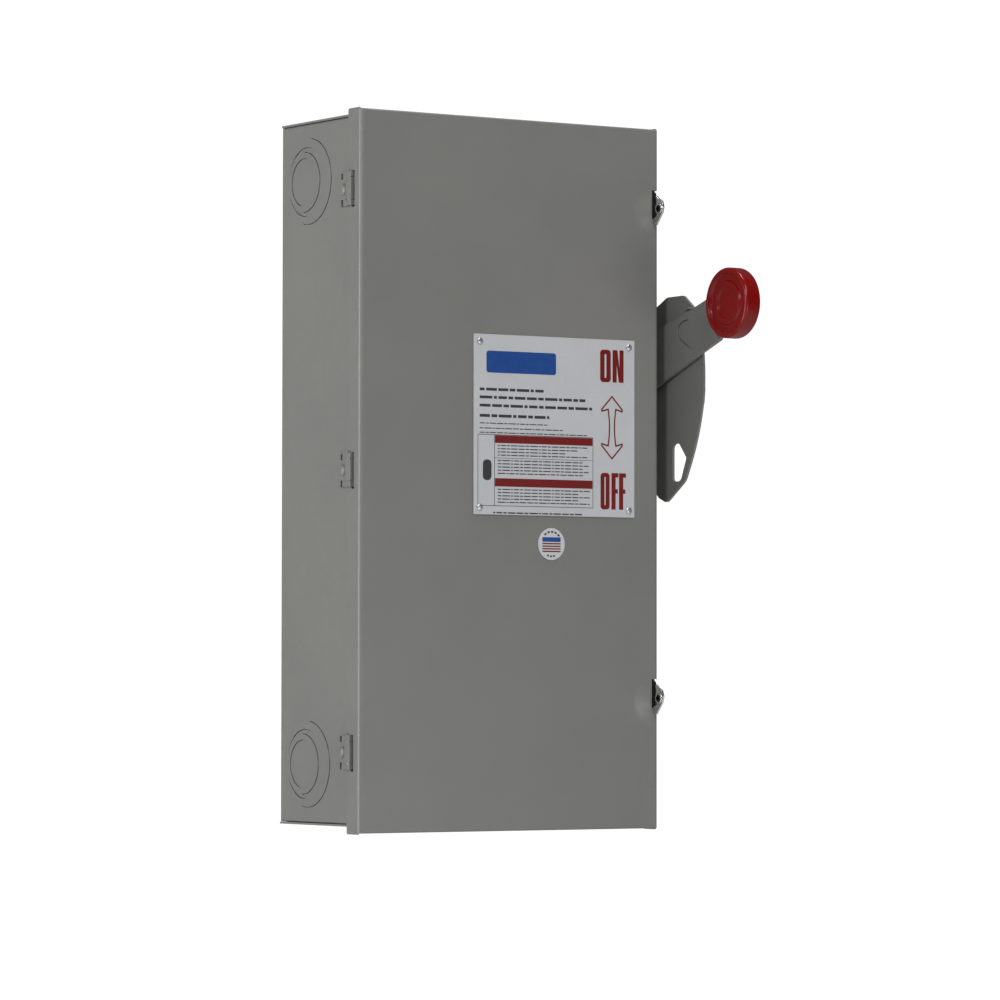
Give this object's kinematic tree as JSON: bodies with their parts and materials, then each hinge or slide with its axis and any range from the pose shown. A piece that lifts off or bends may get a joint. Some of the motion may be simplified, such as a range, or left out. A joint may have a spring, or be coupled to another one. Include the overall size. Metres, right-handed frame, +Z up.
{
  "type": "safety switch enclosure",
  "caption": "Side-operated heavy-duty disconnect switch in a deep grey sheet-steel box with a hinged cover, pull latches and a red-knobbed handle beside it.",
  "frame": {"origin": "centre of the back face, which meets the wall", "axes": "+Z up, +Y into the wall, the cover looks along -Y, and the handle is on the +X side"},
  "size_m": [0.2848, 0.224, 0.5206],
  "materials": {
    "grey_paint": "smooth baked enamel, semi-gloss",
    "plating": "bright zinc plating",
    "spring_steel": "dark spring steel",
    "red_plastic": "glossy vinyl dip",
    "label": "satin printed plate",
    "rivet": "plain aluminium",
    "black_moulding": "moulded glass polyester",
    "copper": "tin-plated copper",
    "lug": "extruded aluminium",
    "clear_sheet": "clear polycarbonate sheet"
  },
  "bodies": {
    "enclosure": {"enclosure_body": "grey_paint", "top_end_wall": "grey_paint", "bottom_end_wall": "grey_paint", "hinge_leaf_upper": "grey_paint", "hinge_leaf_middle": "grey_paint", "hinge_leaf_lower": "grey_paint", "hinge_pin_upper": "plating", "hinge_pin_middle": "plating", "hinge_pin_lower": "plating", "hinge_rivet_upper": "grey_paint", "hinge_rivet_middle": "grey_paint", "hinge_rivet_lower": "grey_paint", "handle_base": "grey_paint", "handle_base_screw_1": "plating", "handle_base_screw_2": "plating", "shaft_bushing": "plating", "mechanism_plate": "plating", "operating_spring": "spring_steel", "line_base": "black_moulding", "load_base": "black_moulding", "line_shield": "clear_sheet", "ground_bar": "lug", "line_jaw_left": "copper", "line_jaw_centre": "copper", "line_jaw_right": "copper", "load_jaw_left": "copper", "load_jaw_centre": "copper", "load_jaw_right": "copper", "line_lug_left": "lug", "line_lug_centre": "lug", "line_lug_right": "lug", "load_lug_left": "lug", "load_lug_centre": "lug", "load_lug_right": "lug"},
    "cover": {"cover": "grey_paint", "nameplate": "label", "nameplate_rivet_1": "rivet", "nameplate_rivet_2": "rivet", "nameplate_rivet_3": "rivet", "nameplate_rivet_4": "rivet", "cover_sticker": "label", "latch_pin_upper": "plating", "latch_pin_lower": "plating", "interlock_catch": "plating"},
    "upper_latch": {"latch_upper": "plating"},
    "lower_latch": {"latch_lower": "plating"},
    "handle": {"handle_arm": "grey_paint", "handle_knob": "red_plastic", "handle_shaft": "plating", "shaft_clip": "spring_steel", "drive_crank": "plating", "crank_pin": "plating"},
    "blades": {"crossbar": "black_moulding", "blade_left": "copper", "blade_centre": "copper", "blade_right": "copper"},
    "link": {"drive_link": "plating"},
    "interlock": {"interlock_lever": "plating"}
  },
  "joints": [
    {"name": "cover_hinge", "type": "hinge", "parent": "enclosure", "child": "cover", "pos_m": [-0.1304, -0.1011, 0], "axis": [0, 0, -1], "range_deg": [0, 130]},
    {"name": "upper_latch_pivot", "type": "hinge", "parent": "cover", "child": "upper_latch", "pos_m": [0.12625, -0.114, 0.2102], "axis": [-1, 0, 0], "range_deg": [0, 30]},
    {"name": "lower_latch_pivot", "type": "hinge", "parent": "cover", "child": "lower_latch", "pos_m": [0.12625, -0.114, -0.154], "axis": [-1, 0, 0], "range_deg": [0, 30]},
    {"name": "handle_turn", "type": "hinge", "parent": "enclosure", "child": "handle", "pos_m": [0.1447, -0.0565, 0.0777], "axis": [1, 0, 0], "range_deg": [0, 84]},
    {"name": "blade_swing", "type": "hinge", "parent": "enclosure", "child": "blades", "pos_m": [0, -0.044, 0.02], "axis": [1, 0, 0], "range_deg": [0, 45.2]},
    {"name": "link_turn", "type": "hinge", "parent": "blades", "child": "link", "pos_m": [0.101, -0.058, 0.055], "axis": [1, 0, 0], "range_deg": [-44.2, 0]},
    {"name": "interlock_turn", "type": "hinge", "parent": "enclosure", "child": "interlock", "pos_m": [0.11925, -0.092, 0.112], "axis": [1, 0, 0], "range_deg": [0, 25.4]}
  ],
  "couplings": [
    {"joint": "blade_swing", "follows": "handle_turn", "ratio": 0.5357},
    {"joint": "link_turn", "follows": "handle_turn", "ratio": -0.5226},
    {"joint": "interlock_turn", "follows": "handle_turn", "ratio": 0.3}
  ]
}
